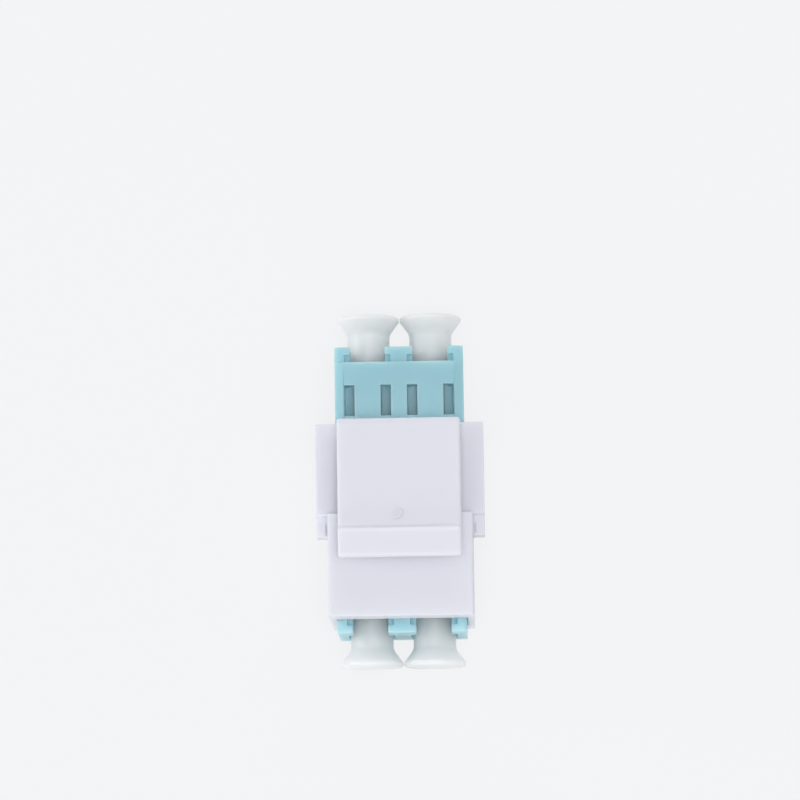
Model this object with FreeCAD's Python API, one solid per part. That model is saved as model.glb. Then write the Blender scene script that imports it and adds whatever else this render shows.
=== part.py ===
import FreeCAD, Part
import math
import os

from FreeCAD import Placement, Rotation, Vector

# LC duplex adapter in a keystone snap-in frame, with its four dust caps.
# Millimetres. X runs across the two ports, -Y is the side that faces out of the panel,
# Z = 0 is the plane the module rests on with its latch up, and Y = 0 is the adapter's mid-plane.

# Port layout of the duplex adapter
PORT_PITCH = 6.25
PORT_HALF = 2.31            # half of the square plug opening
PORT_DROP = 1.15            # port axis below the adapter's mid-height
MID_Z = 9.9                 # adapter's mid-height above the rest plane
PORT_Z = MID_Z - PORT_DROP

# Adapter body, moulded as two halves that meet at Y = 0
BODY_HALF_W = 6.4
BODY_HALF_H = 4.65
BODY_HALF_L = 14.3
BODY_EDGE_R = 0.3
TOP_BEVEL_X = 0.85
TOP_BEVEL_Z = 0.4
CHANNEL_HALF_W = 1.75       # half of the channel that takes the plug's latch
CHANNEL_ROOF_Z = MID_Z + 3.45
MOUTH_CUT = 1.55            # length over which the top wall is missing at the mouth
POST_STEP = 0.28            # end posts stand this much lower than the top wall
LIP_LENGTH = 0.8
NOTCH_FLOOR_Z = MID_Z + 3.75  # floor of the notch behind each lip
WINDOW_W = 1.0
WINDOW_L = 3.1
WINDOW_START = 7.33         # distance of the latch windows from the mid-plane
WINDOW_FLOOR_Z = MID_Z + 3.0  # ledge below the outer part of each window
PARTITION = (1.2, 2.7)      # wall that backs the holder flanges
FLANGE_SEAT = 4.5
END_DIMPLE = (0.9, 1.4, 1.0)  # width, height and depth of the recess in the middle post's end

# Snap wedges on the body's sides and their windows in the frame
WEDGE = (0.75, 3.3)         # start and end behind the mid-plane
WEDGE_OUT = 0.7
WEDGE_HALF_H = 1.9
SNAP_WINDOW = (0.5, 3.7)
SNAP_WINDOW_HALF_H = 2.1

# Sleeve holders and split sleeves
FLANGE_W = 4.4
FLANGE_T = PARTITION[0]
BARREL_R = 1.5
BARREL_TIP = 5.2
SLEEVE_R = 0.81
SLEEVE_BORE_R = 0.6235
SLEEVE_HALF_L = 3.4
SLEEVE_SLIT = 0.15
HOLDER_BORE_R = 0.82
HOLDER_STOP = 3.5
HOLDER_LIP = 0.2            # ring that keeps the sleeve in, before the funnel
HOLDER_LIP_R = 0.68
FUNNEL_R = 1.08

# Dust caps
CAP_R = 2.125
CAP_BORE_R = 1.55
CAP_INNER_END = 4.0
CAP_BORE_END = 12.0
FLARE_START = 16.15
FLARE_BEND = (2.3, 16.55)   # radius and distance where the flare's hollow start becomes a straight cone
HEAD_R = 3.08
HEAD_RIM = 17.6
HEAD_BEVEL = 0.15
CAP_OUTER_END = 18.05
FRONT_CAPS_DEEPER = 0.75    # the front pair is pushed further in than the rear pair

# Keystone frame; S values are distances behind its front face
FRONT_Y = -12.95
FRAME_L = 19.3
COLLAR_HALF_W = 7.15
COLLAR_HALF_H = 8.0
COLLAR_L = 10.15
COLLAR_R = 0.3
TUBE_START = 10.15
TUBE_HALF_W = 8.33
TUBE_HALF_H = 6.1
POCKET_HALF_W = 6.45
POCKET_TOP = 4.73

# Guide lugs beside the collar, each with a narrow slot along its root
LUG_START = 8.1
LUG_Z = (2.9, 5.3)
LUG_SLOT = (7.29, 7.43)
LUG_SLOT_S = (8.3, 9.35)

# Fixed hook, panel groove and skirts below
LIP_S = (6.7, 8.0)
HOOK_HALF_W = 6.0
SHOULDER_T = 1.3
SKIRT_T = 1.5
RIB_T = 1.2

# Core-outs
TOP_CORE = (7.0, 5.6, 1.2)   # roof height, width and front wall of the two cores behind the collar's top
UNDER_CORE = (1.2, 5.4, 5.9, 5.2)  # start, end, roof depth and width of the two pockets below

# Latch arm
ARM_HALF_W = 6.05
ARM_TOP = 10.3
ARM_T = 1.15
ARM_FREE_END = 5.6
ARM_ROOT_T = 1.4
ARM_BACK_R = 0.6
ARM_INNER_R = 0.5
NOSE_STEP = 8.43
NOSE_PEAK = 11.1
NOSE_TIP = 10.4
NOSE_TIP_BEVEL = 0.3
NOSE_LAND = 0.35            # length of the flat top in front of the step
GATE_MARK = (-0.3, 9.85, 0.73, 0.56, 0.1)  # x, s, lower and upper radius, height


def box(x_span, y_span, z_span):
    size = [high - low for low, high in (x_span, y_span, z_span)]
    return Part.makeBox(*size, Vector(x_span[0], y_span[0], z_span[0]))


def wide_box(half_w, y_span, z_span):
    return box((-half_w, half_w), y_span, z_span)


def behind_front(s_start, s_end):
    return (FRONT_Y + s_start, FRONT_Y + s_end)


def from_mid(low, high):
    return (MID_Z + low, MID_Z + high)


def long_edges(solid):
    """Edges that run along Y."""
    return [edge for edge in solid.Edges
            if edge.Length > 1.0 and abs(abs(edge.tangentAt(edge.FirstParameter).y) - 1.0) < 1e-6]


def side_profile(points, half_w):
    """Extrude a closed outline of (y, z) points, with (mid, end) pairs as arcs, across X."""
    start = Vector(-half_w, *points[0])
    here = start
    edges = []
    for step in points[1:]:
        if isinstance(step[0], tuple):
            middle, end = (Vector(-half_w, *point) for point in step)
            edges.append(Part.Arc(here, middle, end).toShape())
        else:
            end = Vector(-half_w, *step)
            edges.append(Part.LineSegment(here, end).toShape())
        here = end
    edges.append(Part.LineSegment(here, start).toShape())
    return Part.Face(Part.Wire(edges)).extrude(Vector(2.0 * half_w, 0.0, 0.0))


def quarter(centre, radius, from_angle, to_angle):
    """Middle and end of an arc round centre, as a pair for side_profile."""
    middle_angle = 0.5 * (from_angle + to_angle)
    return tuple((centre[0] + radius * math.cos(math.radians(angle)),
                  centre[1] + radius * math.sin(math.radians(angle)))
                 for angle in (middle_angle, to_angle))


def turned(points):
    """Revolve a closed outline of (radius, distance) points, with (mid, end) pairs as arcs, about +Y."""
    start = Vector(points[0][0], points[0][1], 0.0)
    here = start
    edges = []
    for step in points[1:]:
        if isinstance(step[0], tuple):
            middle, end = (Vector(point[0], point[1], 0.0) for point in step)
            edges.append(Part.Arc(here, middle, end).toShape())
        else:
            end = Vector(step[0], step[1], 0.0)
            edges.append(Part.LineSegment(here, end).toShape())
        here = end
    edges.append(Part.LineSegment(here, start).toShape())
    return Part.Face(Part.Wire(edges)).revolve(Vector(0, 0, 0), Vector(0, 1, 0), 360)


def at_port(solid, side, end, deeper=0.0):
    """Carry a solid made round +Y to the port on side -1 or +1 and the front (-1) or rear (+1) end."""
    turn = Rotation(Vector(0, 0, 1), 180 if end < 0 else 0)
    placed = solid.copy()
    placed.Placement = Placement(Vector(side * PORT_PITCH / 2, -end * deeper, PORT_Z), turn)
    return placed


def latch_arm():
    """Springy arm with the catch nose on its free end, from one side profile."""
    back = FRONT_Y + FRAME_L
    web_front = back - ARM_ROOT_T
    free_end = FRONT_Y + ARM_FREE_END
    step = FRONT_Y + NOSE_STEP
    top = MID_Z + ARM_TOP
    peak = MID_Z + NOSE_PEAK
    tip = MID_Z + NOSE_TIP
    under = top - ARM_T
    foot = MID_Z + TUBE_HALF_H - 0.5
    return side_profile([
        (free_end, under),
        (free_end, tip - NOSE_TIP_BEVEL),
        (free_end + NOSE_TIP_BEVEL, tip),
        (step - NOSE_LAND, peak),
        (step, peak),
        (step, top),
        (back - ARM_BACK_R, top),
        quarter((back - ARM_BACK_R, top - ARM_BACK_R), ARM_BACK_R, 90, 0),
        (back, foot),
        (web_front, foot),
        (web_front, under - ARM_INNER_R),
        quarter((web_front - ARM_INNER_R, under - ARM_INNER_R), ARM_INNER_R, 0, 90),
    ], ARM_HALF_W)


def gate_mark():
    """Low stub left on the arm where the plastic entered the mould."""
    x, s, lower_r, upper_r, height = GATE_MARK
    slope = (lower_r - upper_r) / height
    sunk = 0.3
    base = Vector(x, FRONT_Y + s, MID_Z + ARM_TOP - sunk)
    return Part.makeCone(lower_r + sunk * slope, upper_r, height + sunk, base)


def collar():
    shell = wide_box(COLLAR_HALF_W, behind_front(0, COLLAR_L), from_mid(-COLLAR_HALF_H, COLLAR_HALF_H))
    return shell.makeFillet(COLLAR_R, long_edges(shell))


def rear_tube():
    tube = wide_box(TUBE_HALF_W, behind_front(TUBE_START, FRAME_L), from_mid(-TUBE_HALF_H, TUBE_HALF_H))
    neck = wide_box(COLLAR_HALF_W, behind_front(COLLAR_L - 0.2, TUBE_START + 0.2),
                    from_mid(-TUBE_HALF_H, TUBE_HALF_H - 0.2))
    return tube.fuse(neck)


def hook_and_skirts():
    """Fixed hook lip, the groove behind it, the shoulder that stops on the panel, and the skirts."""
    top = MID_Z - COLLAR_HALF_H + 0.2
    lip_y = behind_front(*LIP_S)
    lip = side_profile([
        (lip_y[0], top),
        (lip_y[0], 0.7),
        (lip_y[0] + 0.7, 0.0),
        (lip_y[1], 0.0),
        (lip_y[1], top),
    ], HOOK_HALF_W)
    skirt_top = MID_Z - TUBE_HALF_H + 0.2
    skirt_y = behind_front(TUBE_START, FRAME_L)
    block = wide_box(TUBE_HALF_W, skirt_y, (0.0, skirt_top))
    bay_y = (skirt_y[0] + SHOULDER_T, skirt_y[1] + 1.0)
    for side in (-1, 1):
        bay_x = sorted((side * RIB_T / 2, side * (TUBE_HALF_W - SKIRT_T)))
        block = block.cut(box(bay_x, bay_y, (-1.0, MID_Z - TUBE_HALF_H)))
    return lip.fuse(block)


def guide_lug(side):
    """Ear that stands out beside the collar, joined to the tube behind it."""
    across = sorted((side * (COLLAR_HALF_W - 0.2), side * TUBE_HALF_W))
    lug = box(across, behind_front(LUG_START, TUBE_START + 0.5), from_mid(*LUG_Z))
    slot = box(sorted(side * x for x in LUG_SLOT), behind_front(*LUG_SLOT_S),
               from_mid(LUG_Z[0] - 1, LUG_Z[1] + 1))
    return lug.cut(slot)


def frame_cores():
    """Two cores open to the rear above the tube, and two pockets in the collar's underside."""
    roof, core_w, front_wall = TOP_CORE
    start, end, depth, pocket_w = UNDER_CORE
    cores = []
    for side in (-1, 1):
        x_near = side * 0.6
        cores.append(box(sorted((x_near, x_near + side * core_w)),
                         behind_front(front_wall, COLLAR_L + 1.0),
                         from_mid(TUBE_HALF_H, roof)))
        cores.append(box(sorted((x_near, x_near + side * pocket_w)),
                         behind_front(start, end),
                         from_mid(-COLLAR_HALF_H - 1.0, -depth)))
        cores.append(box(sorted((side * (POCKET_HALF_W - 0.5), side * (TUBE_HALF_W + 1.0))),
                         SNAP_WINDOW, from_mid(-SNAP_WINDOW_HALF_H, SNAP_WINDOW_HALF_H)))
    return cores


def keystone_frame():
    pieces = [rear_tube(), hook_and_skirts(), latch_arm(), gate_mark()]
    pieces += [guide_lug(side) for side in (-1, 1)]
    frame = collar().multiFuse(pieces)
    pocket = wide_box(POCKET_HALF_W, behind_front(-1, FRAME_L + 1), from_mid(-BODY_HALF_H, POCKET_TOP))
    return frame.cut([pocket] + frame_cores()).removeSplitter()


def port_space(side):
    """Plug opening, latch channel, latch windows and mouth notches of one port, open towards +Y."""
    x = side * PORT_PITCH / 2
    mouth = BODY_HALF_L + 1.0
    mouth_start = BODY_HALF_L - MOUTH_CUT
    lip_start = BODY_HALF_L - LIP_LENGTH
    above = MID_Z + BODY_HALF_H + 1.0
    port_x = (x - PORT_HALF, x + PORT_HALF)
    channel_x = (x - CHANNEL_HALF_W, x + CHANNEL_HALF_W)
    spaces = [
        box(port_x, (PARTITION[1], mouth), (PORT_Z - PORT_HALF, PORT_Z + PORT_HALF)),
        box(channel_x, (PARTITION[1], mouth), (PORT_Z, CHANNEL_ROOF_Z)),
        box(channel_x, (mouth_start, mouth), (PORT_Z, above)),
        box(port_x, (mouth_start, lip_start), (NOTCH_FLOOR_Z, above)),
    ]
    for edge in (-1, 1):
        window_x = sorted((x + edge * PORT_HALF, x + edge * (PORT_HALF - WINDOW_W)))
        spaces.append(box(window_x, (WINDOW_START, WINDOW_START + WINDOW_L), (WINDOW_FLOOR_Z, above)))
    return spaces


def holder_seat(side):
    """Recess for the holder's flange and the hole for its barrel."""
    x = side * PORT_PITCH / 2
    half = FLANGE_SEAT / 2
    recess = box((x - half, x + half), (-1.0, PARTITION[0]), (PORT_Z - half, PORT_Z + half))
    hole = Part.makeCylinder(BARREL_R + 0.02, PARTITION[1], Vector(x, 0, PORT_Z), Vector(0, 1, 0))
    return [recess, hole]


def housing_half():
    """Half of the adapter body, for Y from 0 to its end."""
    shell = wide_box(BODY_HALF_W, (0.0, BODY_HALF_L), from_mid(-BODY_HALF_H, BODY_HALF_H))
    shell = shell.makeFillet(BODY_EDGE_R, [edge for edge in long_edges(shell) if edge.CenterOfMass.z < MID_Z])
    top = MID_Z + BODY_HALF_H
    for side in (-1, 1):
        corner = side * BODY_HALF_W
        outline = [Vector(corner, -1, top), Vector(corner, -1, top - TOP_BEVEL_Z),
                   Vector(corner - side * TOP_BEVEL_X, -1, top), Vector(corner, -1, top)]
        wedge = Part.Face(Part.makePolygon(outline)).extrude(Vector(0, BODY_HALF_L + 2, 0))
        shell = shell.cut(wedge)
    post_step = wide_box(BODY_HALF_W + 1, (BODY_HALF_L - MOUTH_CUT, BODY_HALF_L + 1),
                         (top - POST_STEP, top + 1))
    dimple_w, dimple_h, dimple_d = END_DIMPLE
    dimple = wide_box(dimple_w / 2, (BODY_HALF_L - dimple_d, BODY_HALF_L + 1),
                      (MID_Z + 0.4, MID_Z + 0.4 + dimple_h))
    spaces = [post_step, dimple]
    for side in (-1, 1):
        spaces += port_space(side) + holder_seat(side)
    return shell.cut(spaces).removeSplitter()


def snap_wedge(side):
    """Ramp on the body's side, rising towards the rear to a square catch."""
    inner = side * (BODY_HALF_W - 0.2)
    flush = side * BODY_HALF_W
    outer = side * (BODY_HALF_W + WEDGE_OUT)
    low = MID_Z - WEDGE_HALF_H
    outline = [Vector(inner, WEDGE[0], low), Vector(flush, WEDGE[0], low),
               Vector(outer, WEDGE[1] - 0.4, low), Vector(outer, WEDGE[1], low),
               Vector(inner, WEDGE[1], low), Vector(inner, WEDGE[0], low)]
    return Part.Face(Part.makePolygon(outline)).extrude(Vector(0, 0, 2 * WEDGE_HALF_H))


def housing(end):
    half = housing_half()
    if end > 0:
        return half.multiFuse([snap_wedge(side) for side in (-1, 1)]).removeSplitter()
    return half.mirror(Vector(0, 0, 0), Vector(0, 1, 0))


def sleeve_holder():
    half = FLANGE_W / 2
    funnel = HOLDER_STOP + HOLDER_LIP
    flange = box((-half, half), (0.0, FLANGE_T), (-half, half))
    flange = flange.makeFillet(0.4, long_edges(flange))
    barrel = turned([
        (0.0, 0.0),
        (BARREL_R, 0.0),
        (BARREL_R, BARREL_TIP - 0.25),
        (BARREL_R - 0.25, BARREL_TIP),
        (0.0, BARREL_TIP),
    ])
    bore = turned([
        (0.0, -1.0),
        (HOLDER_BORE_R, -1.0),
        (HOLDER_BORE_R, HOLDER_STOP),
        (HOLDER_LIP_R, HOLDER_STOP),
        (HOLDER_LIP_R, funnel),
        (FUNNEL_R, funnel + FUNNEL_R - HOLDER_LIP_R),
        (FUNNEL_R, BARREL_TIP + 1.0),
        (0.0, BARREL_TIP + 1.0),
    ])
    return flange.fuse(barrel).cut(bore).removeSplitter()


def ceramic_sleeve():
    tube = turned([
        (SLEEVE_BORE_R, -SLEEVE_HALF_L),
        (SLEEVE_R, -SLEEVE_HALF_L),
        (SLEEVE_R, SLEEVE_HALF_L),
        (SLEEVE_BORE_R, SLEEVE_HALF_L),
    ])
    slit = box((-SLEEVE_SLIT / 2, SLEEVE_SLIT / 2), (-SLEEVE_HALF_L - 1, SLEEVE_HALF_L + 1), (0.0, 2.0))
    return tube.cut(slit)


def dust_cap():
    """Blind cylinder that fits over the barrel, with a trumpet-shaped head to pull on."""
    return turned([
        (0.0, CAP_BORE_END),
        (CAP_BORE_R - 0.3, CAP_BORE_END),
        (CAP_BORE_R, CAP_BORE_END - 0.3),
        (CAP_BORE_R, CAP_INNER_END + 0.2),
        (CAP_BORE_R + 0.15, CAP_INNER_END),
        (CAP_R - 0.2, CAP_INNER_END),
        (CAP_R, CAP_INNER_END + 0.3),
        (CAP_R, FLARE_START),
        FLARE_BEND,
        (HEAD_R, HEAD_RIM),
        (HEAD_R, CAP_OUTER_END - HEAD_BEVEL),
        (HEAD_R - HEAD_BEVEL, CAP_OUTER_END),
        (0.0, CAP_OUTER_END),
    ])


def export(shape, name):
    solid = shape.Solids[0] if len(shape.Solids) == 1 else shape
    solid.exportStep(f"parts/{name}.step")
    print(f"{name}: valid {solid.isValid()}, {len(shape.Solids)} solid, {solid.Volume:.1f} mm3")


def main():
    os.makedirs("parts", exist_ok=True)
    ends = {"front": -1, "rear": 1}
    sides = {"left": -1, "right": 1}
    export(keystone_frame(), "keystone_frame")
    for end_name, end in ends.items():
        export(housing(end), f"housing_{end_name}")
        deeper = FRONT_CAPS_DEEPER if end < 0 else 0.0
        for side_name, side in sides.items():
            export(at_port(sleeve_holder(), side, end), f"sleeve_holder_{end_name}_{side_name}")
            export(at_port(dust_cap(), side, end, deeper), f"dust_cap_{end_name}_{side_name}")
    for side_name, side in sides.items():
        export(at_port(ceramic_sleeve(), side, 1), f"ceramic_sleeve_{side_name}")


main()
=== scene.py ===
import math

import bmesh
import bpy
from mathutils import Matrix, Vector


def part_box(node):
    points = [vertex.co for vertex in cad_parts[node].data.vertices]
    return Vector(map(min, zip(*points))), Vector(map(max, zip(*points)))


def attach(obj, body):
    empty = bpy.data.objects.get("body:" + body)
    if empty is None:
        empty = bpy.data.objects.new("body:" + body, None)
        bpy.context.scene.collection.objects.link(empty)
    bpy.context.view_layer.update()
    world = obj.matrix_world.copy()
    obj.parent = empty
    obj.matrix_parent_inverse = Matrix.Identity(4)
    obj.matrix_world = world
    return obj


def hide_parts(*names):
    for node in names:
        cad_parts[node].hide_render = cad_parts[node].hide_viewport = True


# Duplex fibre adapter in a keystone frame, lying on its skirts with the latch arm up, and its four
# dust caps. Everything is in metres, in the frame of the CAD nodes: the module rests on Z = 0, and
# -Y is the side that faces out of the panel.

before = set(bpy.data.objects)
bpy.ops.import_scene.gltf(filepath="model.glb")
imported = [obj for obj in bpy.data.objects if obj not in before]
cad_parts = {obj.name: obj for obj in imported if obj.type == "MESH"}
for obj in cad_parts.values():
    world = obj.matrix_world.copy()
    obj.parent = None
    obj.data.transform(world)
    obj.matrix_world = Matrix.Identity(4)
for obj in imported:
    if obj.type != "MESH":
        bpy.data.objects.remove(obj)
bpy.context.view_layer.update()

MM = 0.001
ENDS = {"front": -1, "rear": 1}       # the way each end faces along Y
SIDES = {"left": -1, "right": 1}      # and the way each side lies along X

# Finishes by material slot; colours are linear values
FINISHES = {
    "frame_white": {
        "name": "Frame white plastic",
        "colour": (0.73, 0.74, 0.81, 1.0),
        "colour_shift": 0.02,
        "gloss": (0.38, 0.48),
        "grain_depth": 0.004 * MM,
        "translucency": 0.5,
        "bleed": 1.0 * MM,
    },
    "adapter_aqua": {
        "name": "Adapter aqua plastic",
        "colour": (0.315, 0.575, 0.65, 1.0),
        "colour_shift": 0.03,
        "gloss": (0.33, 0.42),
        "grain_depth": 0.003 * MM,
        "translucency": 1.0,
        "bleed": 2.4 * MM,
    },
    "cap_clear_white": {
        "name": "Milky cap plastic",
        "colour": (0.79, 0.81, 0.82, 1.0),
        "colour_shift": 0.02,
        "gloss": (0.35, 0.45),
        "grain_depth": 0.002 * MM,
        "translucency": 1.0,
        "bleed": 5.0 * MM,
    },
    "holder_white": {
        "name": "Holder plastic",
        "colour": (0.75, 0.75, 0.72, 1.0),
        "colour_shift": 0.02,
        "gloss": (0.4, 0.5),
        "grain_depth": 0.002 * MM,
        "translucency": 0.0,
        "bleed": 0.4 * MM,
    },
    "zirconia": {
        "name": "Ground zirconia",
        "colour": (0.85, 0.85, 0.81, 1.0),
        "colour_shift": 0.02,
        "gloss": (0.15, 0.2),
        "grain_depth": 0.001 * MM,
        "translucency": 0.0,
        "bleed": 0.4 * MM,
    },
}
GRAIN_STRENGTH = 0.5
NOISE_MIDDLE = 0.5                    # about the average of a noise texture

# Gate stub on the latch arm, and a slightly darker disc on its top, which is a hair wider than the
# top
GATE_STUB = (-0.3 * MM, -3.1 * MM, 20.3 * MM)  # the middle of its top
GATE_STUB_H = 0.1 * MM
GATE_FOOT_R = (0.73 * MM, 0.64 * MM)  # of the stub's foot in the solid, and as drawn in here
DARK_TOP_R = 0.57 * MM
DARK_TOP_FADE_FROM = 0.8                  # share of its radius at which the darker disc starts to fade
DARK_TOP_TONE = (0.93, 0.93, 0.93, 1.0)  # what the darker disc leaves of the frame's colour

# Moulded edges
EDGE_ROUNDS = {
    "frame": 0.10 * MM,
    "arm": 0.30 * MM,
    "housing": 0.07 * MM,
    "holder": 0.04 * MM,
    "sleeve": 0.02 * MM,
}
ROUND_STEPS = 4
SHARP_ANGLE = math.radians(15)
FLAT_ANGLE = math.radians(1)
LEAST_ROOM = 1.6                      # an edge stays sharp beside a face that reaches fewer rounds
ROOM_TO_ROUND = 2.2                   # a round shrinks until the face reaches this many times as far
ON_FACE = 0.01 * MM                   # a point this near a face or a rim lies on it
SAME_POINT = 0.001 * MM               # and points this near each other are one
ARM_HALF_W = 6.05 * MM
ARM_FOOT_Z = 16.0 * MM
LUG_SLOT_X = (7.29 * MM, 7.43 * MM)

# Ledges below the rear housing's latch windows; X is measured from the port's axis
LEDGE_X = (1.31 * MM, 2.4 * MM)
LEDGE_Y = (7.23 * MM, 10.53 * MM)
LEDGE_Z = (11.3 * MM, 12.95 * MM)

# Floors of the slots along the guide lugs' roots, which leave a shallow groove
LUG_FLOOR_X = (7.25 * MM, 7.47 * MM)
LUG_FLOOR_Y = (-4.7 * MM, -3.55 * MM)
LUG_FLOOR_Z = (13.0 * MM, 15.05 * MM)

# Dust caps; ends, bends and rims are measured along the axis from the cap's datum
CAP_SIZES = {
    "Barrel Radius": 2.125 * MM,
    "Bore Radius": 1.55 * MM,
    "Inner End": 4.0 * MM,
    "Bore End": 12.0 * MM,
    "Flare Start": 16.15 * MM,
    "Bend Radius": 2.3 * MM,
    "Bend At": 16.55 * MM,
    "Head Radius": 3.08 * MM,
    "Head Rim": 17.6 * MM,
    "Outer End": 18.05 * MM,
    "Rim Bevel": 0.15 * MM,
    "Mouth Bevel": 0.25 * MM,
    "Edge Round": 0.07 * MM,
    "Flare Round": 0.9 * MM,
}
CAP_STEPS_AROUND = 96
CAP_SWEEP_R = 0.001 * MM              # of the tiny circle that the chain of stations is swept round
CAP_POLE_MERGE = 0.003 * MM           # points this near each other are one, which closes the poles

# Floor, room and lamps
FLOOR_SIZE = 3.0
FLOOR_WHITE = (0.90, 0.90, 0.91, 1.0)
FLOOR_ROUGHNESS = 0.9
FLOOR_GLOSS = 0.1
BACKGROUND_WHITE = (0.905, 0.915, 0.925, 1.0)
BACKGROUND_SHARE = 0.85               # of what is seen of the floor; the rest keeps the shadow
ROOM_LIGHT = 0.35                     # strength of the even light from all sides
LAMPS = {                             # place, width and power in watts; each one points at the origin
    "overhead": ((0.05, -0.15, 1.0), 0.3, 3.25),
    "left": ((-1.1, 0.0, 0.35), 0.8, 4.6),
    "right": ((0.7, 0.1, 0.8), 1.2, 1.9),
    "front": ((-0.15, -1.2, 0.25), 0.8, 5.8),
    "back": ((0.0, 1.1, 0.35), 0.8, 3.0),
}

# Camera
MODULE_MIDDLE = (0.0, 0.17 * MM, 9.9 * MM)  # about; the camera tilts and leans round it
CAMERA_DISTANCE = 410 * MM
CAMERA_TILT = math.radians(7.0)       # leans this far towards the front of the module
CAMERA_LEAN = math.radians(1.2)       # and this far to the right
CAMERA_ROLL = math.radians(-0.8)
CAMERA_LENS = 184.0
CAMERA_SENSOR = 36.0
CAMERA_REACH = (0.01, 10.0)           # nothing nearer or further is shown
AIM_BEHIND = 9.35 * MM                # the view's middle lies this far behind the module's middle


# --- Materials ---------------------------------------------------------------------------

def add_node(tree, kind, place, **settings):
    """A new node of the tree, with the settings that it needs before its links."""
    node = tree.nodes.new(kind)
    node.location = place
    for name, value in settings.items():
        setattr(node, name, value)
    return node


def moulded_skin_group():
    """Fine moulded grain, slow unevenness of colour and gloss, as one group for every piece."""
    group = bpy.data.node_groups.new("Moulded skin", "ShaderNodeTree")
    for name, kind, start in (("Colour", "NodeSocketColor", (0.8, 0.8, 0.8, 1.0)),
                              ("Colour Shift", "NodeSocketFloat", 0.03),
                              ("Shift Scale", "NodeSocketFloat", 350.0),
                              ("Grain Scale", "NodeSocketFloat", 9000.0),
                              ("Gloss Low", "NodeSocketFloat", 0.35),
                              ("Gloss High", "NodeSocketFloat", 0.45)):
        socket = group.interface.new_socket(name=name, in_out="INPUT", socket_type=kind)
        socket.default_value = start
    for name, kind in (("Colour", "NodeSocketColor"), ("Roughness", "NodeSocketFloat"),
                       ("Height", "NodeSocketFloat")):
        group.interface.new_socket(name=name, in_out="OUTPUT", socket_type=kind)
    given = add_node(group, "NodeGroupInput", (-900, 0))
    result = add_node(group, "NodeGroupOutput", (600, 0))
    place = add_node(group, "ShaderNodeTexCoord", (-900, -350))
    grain = add_node(group, "ShaderNodeTexNoise", (-600, -450))
    grain.inputs["Detail"].default_value = 2.0
    cloud = add_node(group, "ShaderNodeTexNoise", (-600, -150))
    cloud.inputs["Detail"].default_value = 3.0
    centred = add_node(group, "ShaderNodeMath", (-350, -150), operation="SUBTRACT")
    centred.inputs[1].default_value = NOISE_MIDDLE
    scaled = add_node(group, "ShaderNodeMath", (-150, -150), operation="MULTIPLY")
    lift = add_node(group, "ShaderNodeMath", (50, -150), operation="ADD")
    lift.inputs[1].default_value = 1.0
    tint = add_node(group, "ShaderNodeVectorMath", (250, 100), operation="SCALE")
    gloss = add_node(group, "ShaderNodeMapRange", (250, -200))
    link = group.links.new
    link(place.outputs["Object"], grain.inputs["Vector"])
    link(given.outputs["Grain Scale"], grain.inputs["Scale"])
    link(grain.outputs["Fac"], result.inputs["Height"])
    link(place.outputs["Object"], cloud.inputs["Vector"])
    link(given.outputs["Shift Scale"], cloud.inputs["Scale"])
    link(cloud.outputs["Fac"], centred.inputs[0])
    link(centred.outputs[0], scaled.inputs[0])
    link(given.outputs["Colour Shift"], scaled.inputs[1])
    link(scaled.outputs[0], lift.inputs[0])
    link(given.outputs["Colour"], tint.inputs[0])
    link(lift.outputs[0], tint.inputs["Scale"])
    link(tint.outputs["Vector"], result.inputs["Colour"])
    link(cloud.outputs["Fac"], gloss.inputs["Value"])
    link(given.outputs["Gloss Low"], gloss.inputs["To Min"])
    link(given.outputs["Gloss High"], gloss.inputs["To Max"])
    link(gloss.outputs["Result"], result.inputs["Roughness"])
    return group


def piece_material(skin, name, colour, colour_shift, gloss, grain_depth, translucency, bleed):
    """Colour and gloss vary a little over the surface, which has a fine grain."""
    material = bpy.data.materials.new(name)
    material.use_nodes = True
    tree = material.node_tree
    shader = tree.nodes["Principled BSDF"]
    finish = add_node(tree, "ShaderNodeGroup", (-600, 100), node_tree=skin)
    finish.inputs["Colour"].default_value = colour
    finish.inputs["Colour Shift"].default_value = colour_shift
    finish.inputs["Gloss Low"].default_value = gloss[0]
    finish.inputs["Gloss High"].default_value = gloss[1]
    bump = add_node(tree, "ShaderNodeBump", (-300, -200))
    bump.inputs["Strength"].default_value = GRAIN_STRENGTH
    bump.inputs["Distance"].default_value = grain_depth
    tree.links.new(finish.outputs["Height"], bump.inputs["Height"])
    tree.links.new(finish.outputs["Colour"], shader.inputs["Base Color"])
    tree.links.new(finish.outputs["Roughness"], shader.inputs["Roughness"])
    tree.links.new(bump.outputs["Normal"], shader.inputs["Normal"])
    shader.inputs["Subsurface Weight"].default_value = translucency
    shader.inputs["Subsurface Radius"].default_value = (1.0, 1.0, 1.0)
    shader.inputs["Subsurface Scale"].default_value = bleed
    return material


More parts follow.
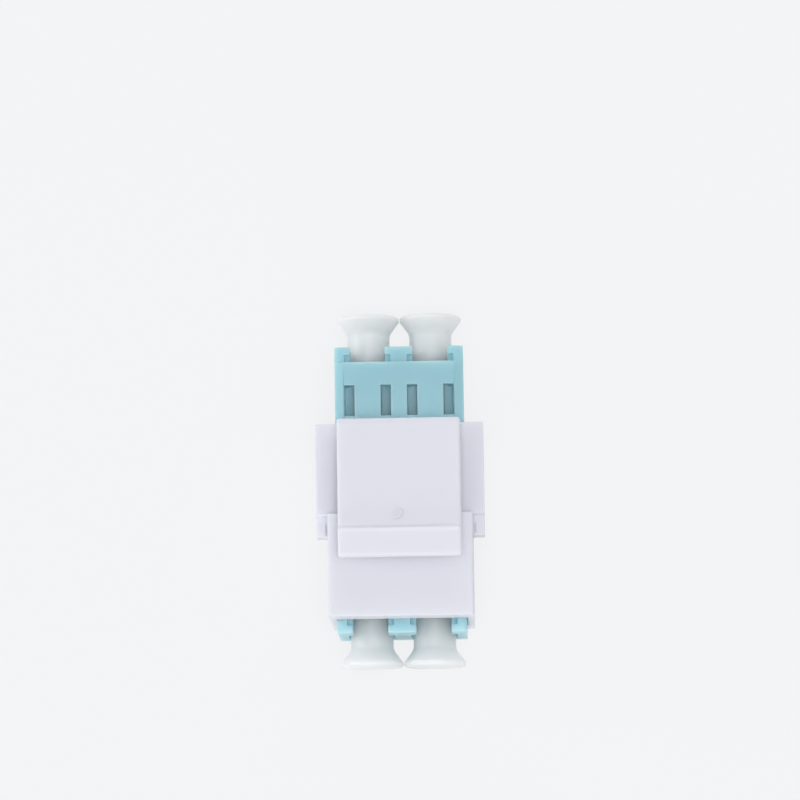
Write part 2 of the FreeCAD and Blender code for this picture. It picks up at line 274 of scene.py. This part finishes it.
def stub_top_darkening_group():
    """Mask of the slightly darker disc on the gate stub's top, which fades towards its rim."""
    group = bpy.data.node_groups.new("Darker stub top", "ShaderNodeTree")
    new_socket = group.interface.new_socket
    centre = new_socket(name="Centre", in_out="INPUT", socket_type="NodeSocketVector")
    centre.default_value = GATE_STUB
    reach = new_socket(name="Reach", in_out="INPUT", socket_type="NodeSocketFloat")
    reach.default_value = DARK_TOP_R
    new_socket(name="Mask", in_out="OUTPUT", socket_type="NodeSocketFloat")
    given = add_node(group, "NodeGroupInput", (-800, 0))
    result = add_node(group, "NodeGroupOutput", (400, 0))
    place = add_node(group, "ShaderNodeTexCoord", (-800, 250))
    distance = add_node(group, "ShaderNodeVectorMath", (-550, 100), operation="DISTANCE")
    inner = add_node(group, "ShaderNodeMath", (-550, -150), operation="MULTIPLY")
    inner.inputs[1].default_value = DARK_TOP_FADE_FROM
    fade = add_node(group, "ShaderNodeMapRange", (-200, 0), interpolation_type="SMOOTHSTEP")
    fade.inputs["To Min"].default_value = 1.0
    fade.inputs["To Max"].default_value = 0.0
    link = group.links.new
    link(place.outputs["Object"], distance.inputs[0])
    link(given.outputs["Centre"], distance.inputs[1])
    link(given.outputs["Reach"], inner.inputs[0])
    link(distance.outputs["Value"], fade.inputs["Value"])
    link(inner.outputs[0], fade.inputs["From Min"])
    link(given.outputs["Reach"], fade.inputs["From Max"])
    link(fade.outputs["Result"], result.inputs["Mask"])
    return group


def add_stub_top_darkening(material):
    """Darken the material's colour a little on a disc at the gate stub's top."""
    tree = material.node_tree
    shader = tree.nodes["Principled BSDF"]
    plain_colour = shader.inputs["Base Color"].links[0].from_socket
    mask = add_node(tree, "ShaderNodeGroup", (-600, 400), node_tree=stub_top_darkening_group())
    # a slightly darker colour over a small disc at the gate stub's top, fading at its rim
    darkened = add_node(tree, "ShaderNodeMix", (-250, 300), data_type="RGBA", blend_type="MULTIPLY")
    darkened.inputs["B"].default_value = DARK_TOP_TONE
    tree.links.new(mask.outputs["Mask"], darkened.inputs["Factor"])
    tree.links.new(plain_colour, darkened.inputs["A"])
    tree.links.new(darkened.outputs["Result"], shader.inputs["Base Color"])


def piece_materials():
    """One material for each slot."""
    skin = moulded_skin_group()
    made = {slot: piece_material(skin, **finish) for slot, finish in FINISHES.items()}
    add_stub_top_darkening(made["frame_white"])
    return made


# --- Pieces made from the CAD solids ------------------------------------------------------

def face_depth(face, edge):
    """How far the face reaches from one of its edges."""
    start, end = (vert.co for vert in edge.verts)
    along = (end - start).normalized()
    offsets = [vert.co - start for vert in face.verts]
    return max((offset - along * offset.dot(along)).length for offset in offsets)


def along_arm_side(edge):
    """Whether the edge runs along one of the latch arm's two side faces."""
    return all(abs(abs(vert.co.x) - ARM_HALF_W) < ON_FACE and vert.co.z > ARM_FOOT_Z - ON_FACE
               for vert in edge.verts)


def beside_lug_slot(edge):
    """Whether the edge belongs to the narrow slot along a guide lug's root."""
    low, high = LUG_SLOT_X
    return all(low - ON_FACE < abs(vert.co.x) < high + ON_FACE for vert in edge.verts)


def weigh_edges(shell, edge_round, widest):
    """Share of the widest round for each sharp edge; beside the narrowest faces it stays sharp."""
    weights = shell.edges.layers.float.new("bevel_weight_edge")
    for edge in shell.edges:
        if len(edge.link_faces) != 2 or edge.calc_face_angle() < SHARP_ANGLE:
            continue
        wanted = widest if along_arm_side(edge) else edge_round
        room = min(face_depth(face, edge) for face in edge.link_faces)
        if room > LEAST_ROOM * edge_round and not beside_lug_slot(edge):
            edge[weights] = min(wanted, room / ROOM_TO_ROUND) / widest
        else:
            edge.smooth = False


def port_axis(side):
    """A point on the axis that one side's ports and caps share."""
    low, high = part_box(f"dust_cap_rear_{side}")
    return (low + high) / 2


def plain_blocks(name, blocks):
    """Blocks given by their spans in X, Y and Z, as one mesh."""
    shape = bmesh.new()
    for spans in blocks:
        middle = Vector([(low + high) / 2 for low, high in spans])
        size = Matrix.Diagonal([abs(high - low) for low, high in spans] + [1.0])
        bmesh.ops.create_cube(shape, size=1.0, matrix=Matrix.Translation(middle) @ size)
    mesh = bpy.data.meshes.new(name)
    shape.to_mesh(mesh)
    shape.free()
    return mesh


def window_ledges():
    """Strips that narrow the latch channel below each window."""
    blocks = []
    for side in SIDES:
        port_x = port_axis(side).x
        for wall in SIDES.values():
            across = [port_x + wall * reach for reach in LEDGE_X]
            blocks.append((across, LEDGE_Y, LEDGE_Z))
    return plain_blocks("window_ledges", blocks)


def lug_slot_floors():
    """Strips that leave only a shallow groove of the slot along each guide lug's root."""
    blocks = [([side * reach for reach in LUG_FLOOR_X], LUG_FLOOR_Y, LUG_FLOOR_Z)
              for side in SIDES.values()]
    return plain_blocks("lug_slot_floors", blocks)


def fused(mesh, added):
    """One closed mesh out of two that overlap."""
    base = bpy.data.objects.new("fuse_base", mesh)
    tool = bpy.data.objects.new("fuse_tool", added)
    for part in (base, tool):
        bpy.context.scene.collection.objects.link(part)
    union = base.modifiers.new("Union", "BOOLEAN")
    union.operation = "UNION"
    union.object = tool
    seen = base.evaluated_get(bpy.context.evaluated_depsgraph_get())
    whole = bpy.data.meshes.new_from_object(seen)
    for part in (base, tool):
        bpy.data.objects.remove(part)
    return whole


def welded(mesh):
    """The mesh's faces as one shell, joined where they meet."""
    shell = bmesh.new()
    shell.from_mesh(mesh)
    bmesh.ops.remove_doubles(shell, verts=shell.verts, dist=SAME_POINT)
    return shell


def solid_shell(node, added):
    """The node's solid with any blocks fused to it and its facets merged."""
    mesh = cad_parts[node].data.copy()
    shell = welded(mesh)
    if added:
        shell.to_mesh(mesh)
        shell.free()
        shell = welded(fused(mesh, added))
    bmesh.ops.dissolve_limit(shell, angle_limit=FLAT_ANGLE, verts=shell.verts, edges=shell.edges)
    return shell


def draw_in_gate_foot(shell):
    """Move the foot of the gate stub inwards, which leaves its rim steeper."""
    foot_r, drawn_in_r = GATE_FOOT_R
    foot = Vector(GATE_STUB) - Vector((0, 0, GATE_STUB_H))
    for vert in shell.verts:
        reach = vert.co - foot
        if abs(reach.z) < ON_FACE and abs(reach.xy.length - foot_r) < ON_FACE:
            vert.co.xy = foot.xy + reach.xy * (drawn_in_r / reach.xy.length)


def rounded_piece(name, shell, material, widest):
    """The shell as a piece whose weighted edges have a small moulded round."""
    bmesh.ops.triangulate(shell, faces=[face for face in shell.faces if len(face.verts) > 4])
    mesh = bpy.data.meshes.new(name)
    shell.to_mesh(mesh)
    shell.free()
    mesh.materials.append(material)
    for face in mesh.polygons:
        face.use_smooth = True
    piece = bpy.data.objects.new(name, mesh)
    bpy.context.scene.collection.objects.link(piece)
    round_over = piece.modifiers.new("Edge round", "BEVEL")
    round_over.width = widest
    round_over.segments = ROUND_STEPS
    round_over.limit_method = "WEIGHT"
    round_over.use_clamp_overlap = False
    round_over.loop_slide = False
    round_over.harden_normals = False
    weighted = piece.modifiers.new("Weighted normals", "WEIGHTED_NORMAL")
    weighted.keep_sharp = True
    return piece


def dress(node, material, edge_round, body, widest=None, added=None, reshape=None):
    """Put a piece with moulded edges in the place of the node's plain solid."""
    widest = widest or edge_round
    shell = solid_shell(node, added)
    if reshape:
        reshape(shell)
    weigh_edges(shell, edge_round, widest)
    piece = rounded_piece(f"{node}_moulding", shell, material, widest)
    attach(piece, body)
    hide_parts(node)


# --- Dust caps ----------------------------------------------------------------------------

def turned_cap_tree():
    """A cap turned about its own axis from a chain of stations, its corners rounded."""
    tree = bpy.data.node_groups.new("Turned cap", "GeometryNodeTree")
    new_socket = tree.interface.new_socket
    new_socket(name="Geometry", in_out="INPUT", socket_type="NodeSocketGeometry")
    for name, size in CAP_SIZES.items():
        socket = new_socket(name=name, in_out="INPUT", socket_type="NodeSocketFloat")
        socket.default_value = size
    steps = new_socket(name="Steps Around", in_out="INPUT", socket_type="NodeSocketInt")
    steps.default_value = CAP_STEPS_AROUND
    new_socket(name="Turn", in_out="INPUT", socket_type="NodeSocketRotation")
    new_socket(name="Place", in_out="INPUT", socket_type="NodeSocketVector")
    new_socket(name="Plastic", in_out="INPUT", socket_type="NodeSocketMaterial")
    new_socket(name="Geometry", in_out="OUTPUT", socket_type="NodeSocketGeometry")
    given = add_node(tree, "NodeGroupInput", (-1600, 0))
    result = add_node(tree, "NodeGroupOutput", (1500, 0))
    link = tree.links.new

    def size(name):
        return given.outputs[name]

    def combined(operation, name, other):
        """A size worked out from two others."""
        node = add_node(tree, "ShaderNodeMath", (-1300, 0), operation=operation)
        link(size(name), node.inputs[0])
        link(size(other), node.inputs[1])
        return node.outputs[0]

    def less(name, other):
        """One size minus another."""
        return combined("SUBTRACT", name, other)

    def more(name, other):
        """One size plus another."""
        return combined("ADD", name, other)

    # Radius, distance and corner round of each station, from the bore's bottom to the head's face
    edge, flare = size("Edge Round"), size("Flare Round")
    stations = [
        (None, size("Bore End"), None),
        (less("Bore Radius", "Mouth Bevel"), size("Bore End"), edge),
        (size("Bore Radius"), less("Bore End", "Mouth Bevel"), edge),
        (size("Bore Radius"), more("Inner End", "Rim Bevel"), edge),
        (more("Bore Radius", "Rim Bevel"), size("Inner End"), edge),
        (less("Barrel Radius", "Mouth Bevel"), size("Inner End"), edge),
        (size("Barrel Radius"), more("Inner End", "Mouth Bevel"), edge),
        (size("Barrel Radius"), size("Flare Start"), flare),
        (size("Bend Radius"), size("Bend At"), flare),
        (size("Head Radius"), size("Head Rim"), edge),
        (size("Head Radius"), less("Outer End", "Rim Bevel"), edge),
        (less("Head Radius", "Rim Bevel"), size("Outer End"), edge),
        (None, size("Outer End"), None),
    ]
    station = add_node(tree, "GeometryNodeInputIndex", (-1000, -700))

    def by_station(column, place):
        """Field that gives each station its own value."""
        pick = add_node(tree, "GeometryNodeIndexSwitch", place, data_type="FLOAT")
        while len(pick.index_switch_items) < len(stations):
            pick.index_switch_items.new()
        link(station.outputs["Index"], pick.inputs["Index"])
        for number, values in enumerate(stations):
            if values[column] is not None:
                link(values[column], pick.inputs[number + 1])
        return pick.outputs["Output"]

    chain = add_node(tree, "GeometryNodeMeshLine", (-700, 300))
    chain.inputs["Count"].default_value = len(stations)
    wire = add_node(tree, "GeometryNodeMeshToCurve", (-500, 300))
    spot = add_node(tree, "ShaderNodeCombineXYZ", (-500, 0))
    set_spots = add_node(tree, "GeometryNodeSetPosition", (-300, 300))
    rounded = add_node(tree, "GeometryNodeFilletCurve", (-100, 300), mode="POLY")
    rounded.inputs["Count"].default_value = ROUND_STEPS
    rounded.inputs["Limit Radius"].default_value = True
    axis = add_node(tree, "GeometryNodeCurvePrimitiveCircle", (-100, 600))
    axis.inputs["Radius"].default_value = CAP_SWEEP_R
    upright = add_node(tree, "GeometryNodeSetCurveNormal", (100, 600), mode="Z_UP")
    turned = add_node(tree, "GeometryNodeCurveToMesh", (300, 300))
    closed = add_node(tree, "GeometryNodeMergeByDistance", (500, 300))
    closed.inputs["Distance"].default_value = CAP_POLE_MERGE
    smooth = add_node(tree, "GeometryNodeSetShadeSmooth", (700, 300))
    carried = add_node(tree, "GeometryNodeTransform", (900, 300))
    real = add_node(tree, "GeometryNodeRealizeInstances", (1100, 300))
    coloured = add_node(tree, "GeometryNodeSetMaterial", (1300, 300))
    link(chain.outputs["Mesh"], wire.inputs["Mesh"])
    link(wire.outputs["Curve"], set_spots.inputs["Geometry"])
    link(by_station(0, (-800, 0)), spot.inputs["X"])
    link(by_station(1, (-800, -400)), spot.inputs["Y"])
    link(spot.outputs["Vector"], set_spots.inputs["Position"])
    link(set_spots.outputs["Geometry"], rounded.inputs["Curve"])
    link(by_station(2, (-800, -800)), rounded.inputs["Radius"])
    link(given.outputs["Steps Around"], axis.inputs["Resolution"])
    link(axis.outputs["Curve"], upright.inputs["Curve"])
    link(upright.outputs["Curve"], turned.inputs["Curve"])
    link(rounded.outputs["Curve"], turned.inputs["Profile Curve"])
    link(turned.outputs["Mesh"], closed.inputs["Geometry"])
    link(closed.outputs["Geometry"], smooth.inputs["Geometry"])
    link(smooth.outputs["Geometry"], carried.inputs["Geometry"])
    link(given.outputs["Turn"], carried.inputs["Rotation"])
    link(given.outputs["Place"], carried.inputs["Translation"])
    link(carried.outputs["Geometry"], real.inputs["Geometry"])
    link(real.outputs["Geometry"], coloured.inputs["Geometry"])
    link(given.outputs["Plastic"], coloured.inputs["Material"])
    link(coloured.outputs["Geometry"], result.inputs["Geometry"])
    return tree


def cap_datum(end, side):
    """Point on the port's axis that a cap's lengths are measured from."""
    axis = port_axis(side)
    low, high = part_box(f"dust_cap_{end}_{side}")
    face_y = high.y if end == "rear" else low.y
    return axis.x, face_y - ENDS[end] * CAP_SIZES["Outer End"], axis.z


def dust_cap(end, side, tree, material):
    """One cap, turned outwards at its own port, as a plain mesh on its own body."""
    name = f"pull_cap_{end}_{side}"
    maker = bpy.data.objects.new(name, bpy.data.meshes.new(f"{name}_start"))
    bpy.context.scene.collection.objects.link(maker)
    lathe = maker.modifiers.new("Turned cap", "NODES")
    lathe.node_group = tree
    sockets = {item.name: item.identifier for item in tree.interface.items_tree
               if item.in_out == "INPUT"}
    lathe[sockets["Turn"]] = (ENDS[end] * math.radians(90), 0.0, 0.0)
    lathe[sockets["Place"]] = cap_datum(end, side)
    lathe[sockets["Plastic"]] = material
    seen = maker.evaluated_get(bpy.context.evaluated_depsgraph_get())
    mesh = bpy.data.meshes.new_from_object(seen)
    mesh.name = name
    maker.modifiers.remove(lathe)
    maker.data = mesh
    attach(maker, f"cap_{end}_{side}")
    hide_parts(f"dust_cap_{end}_{side}")


# --- Surroundings -------------------------------------------------------------------------

def background_rays(tree):
    """Whether a ray shows the background: straight, in a reflection or through a piece."""
    rays = add_node(tree, "ShaderNodeLightPath", (-600, 500))
    camera_or_gloss = add_node(tree, "ShaderNodeMath", (-350, 500), operation="MAXIMUM")
    seen = add_node(tree, "ShaderNodeMath", (-150, 500), operation="MAXIMUM")
    tree.links.new(rays.outputs["Is Camera Ray"], camera_or_gloss.inputs[0])
    tree.links.new(rays.outputs["Is Glossy Ray"], camera_or_gloss.inputs[1])
    tree.links.new(camera_or_gloss.outputs[0], seen.inputs[0])
    tree.links.new(rays.outputs["Is Transmission Ray"], seen.inputs[1])
    return seen.outputs[0]


def floor_material():
    """White paper; where it is seen straight or in a reflection, most of it is an even white."""
    material = bpy.data.materials.new("White paper floor")
    material.use_nodes = True
    tree = material.node_tree
    paper = tree.nodes["Principled BSDF"]
    paper.inputs["Base Color"].default_value = FLOOR_WHITE
    paper.inputs["Roughness"].default_value = FLOOR_ROUGHNESS
    paper.inputs["Specular IOR Level"].default_value = FLOOR_GLOSS
    even_white = add_node(tree, "ShaderNodeEmission", (0, -400))
    even_white.inputs["Color"].default_value = BACKGROUND_WHITE
    even_white.inputs["Strength"].default_value = 1.0
    share = add_node(tree, "ShaderNodeMath", (50, 500), operation="MULTIPLY")
    share.inputs[1].default_value = BACKGROUND_SHARE
    mix = add_node(tree, "ShaderNodeMixShader", (300, 200))
    link = tree.links.new
    link(background_rays(tree), share.inputs[0])
    link(share.outputs[0], mix.inputs["Fac"])
    link(paper.outputs["BSDF"], mix.inputs[1])
    link(even_white.outputs["Emission"], mix.inputs[2])
    link(mix.outputs["Shader"], tree.nodes["Material Output"].inputs["Surface"])
    return material


def lay_floor():
    """Paper under the module, which is no part of it."""
    bpy.ops.mesh.primitive_plane_add(size=FLOOR_SIZE, location=(0, 0, 0))
    floor = bpy.context.object
    floor.name = "paper_floor"
    floor.data.materials.append(floor_material())


def white_room():
    """Soft light from all sides; where the room itself is seen, it is the background's white."""
    world = bpy.data.worlds.new("Soft white room")
    world.use_nodes = True
    tree = world.node_tree
    soft_light = tree.nodes["Background"]
    soft_light.inputs["Color"].default_value = (1.0, 1.0, 1.0, 1.0)
    soft_light.inputs["Strength"].default_value = ROOM_LIGHT
    even_white = add_node(tree, "ShaderNodeBackground", (0, -200))
    even_white.inputs["Color"].default_value = BACKGROUND_WHITE
    even_white.inputs["Strength"].default_value = 1.0
    mix = add_node(tree, "ShaderNodeMixShader", (300, 200))
    link = tree.links.new
    link(background_rays(tree), mix.inputs["Fac"])
    link(soft_light.outputs["Background"], mix.inputs[1])
    link(even_white.outputs["Background"], mix.inputs[2])
    link(mix.outputs["Shader"], tree.nodes["World Output"].inputs["Surface"])
    return world


def soft_lamp(name, place, width, watts):
    """A square lamp that points at the origin."""
    lamp = bpy.data.objects.new(name, bpy.data.lights.new(name, "AREA"))
    lamp.data.shape = "SQUARE"
    lamp.data.size = width
    lamp.data.energy = watts
    lamp.location = place
    lamp.rotation_euler = (-Vector(place)).to_track_quat("-Z", "Y").to_euler()
    bpy.context.scene.collection.objects.link(lamp)


def light_the_room():
    """The soft lamps, and the even light of the room round them."""
    for name, (place, width, watts) in LAMPS.items():
        soft_lamp(name, place, width, watts)
    bpy.context.scene.world = white_room()


def place_camera():
    """Looks down on the latch side, leaning a little towards the front and the right."""
    middle = Vector(MODULE_MIDDLE)
    tilt = Matrix.Rotation(CAMERA_TILT, 3, "X")
    lean = Matrix.Rotation(CAMERA_LEAN, 3, "Y")
    to_camera = (lean @ tilt @ Vector((0, 0, 1))).normalized()
    place = middle + to_camera * CAMERA_DISTANCE
    aim = middle + Vector((0, AIM_BEHIND, 0))
    back = (place - aim).normalized()
    up = (Vector((0, 1, 0)) - back * back.y).normalized()
    right = up.cross(back)
    turn = Matrix((right, up, back)).transposed() @ Matrix.Rotation(CAMERA_ROLL, 3, "Z")
    camera = bpy.data.objects.new("camera", bpy.data.cameras.new("camera"))
    camera.data.lens = CAMERA_LENS
    camera.data.sensor_width = CAMERA_SENSOR
    camera.data.clip_start, camera.data.clip_end = CAMERA_REACH
    camera.matrix_world = Matrix.Translation(place) @ turn.to_4x4()
    bpy.context.scene.collection.objects.link(camera)
    bpy.context.scene.camera = camera


# --- The module, its caps and the room ----------------------------------------------------

bpy.context.scene.view_settings.view_transform = "Standard"
materials = piece_materials()
cap_tree = turned_cap_tree()

dress("keystone_frame", materials["frame_white"], EDGE_ROUNDS["frame"], "module",
      widest=EDGE_ROUNDS["arm"], added=lug_slot_floors(), reshape=draw_in_gate_foot)
for end in ENDS:
    ledges = window_ledges() if end == "rear" else None
    dress(f"housing_{end}", materials["adapter_aqua"], EDGE_ROUNDS["housing"], "module",
          added=ledges)
    for side in SIDES:
        dress(f"sleeve_holder_{end}_{side}", materials["holder_white"], EDGE_ROUNDS["holder"],
              "module")
        dust_cap(end, side, cap_tree, materials["cap_clear_white"])
for side in SIDES:
    dress(f"ceramic_sleeve_{side}", materials["zirconia"], EDGE_ROUNDS["sleeve"], "module")

lay_floor()
light_the_room()
place_camera()
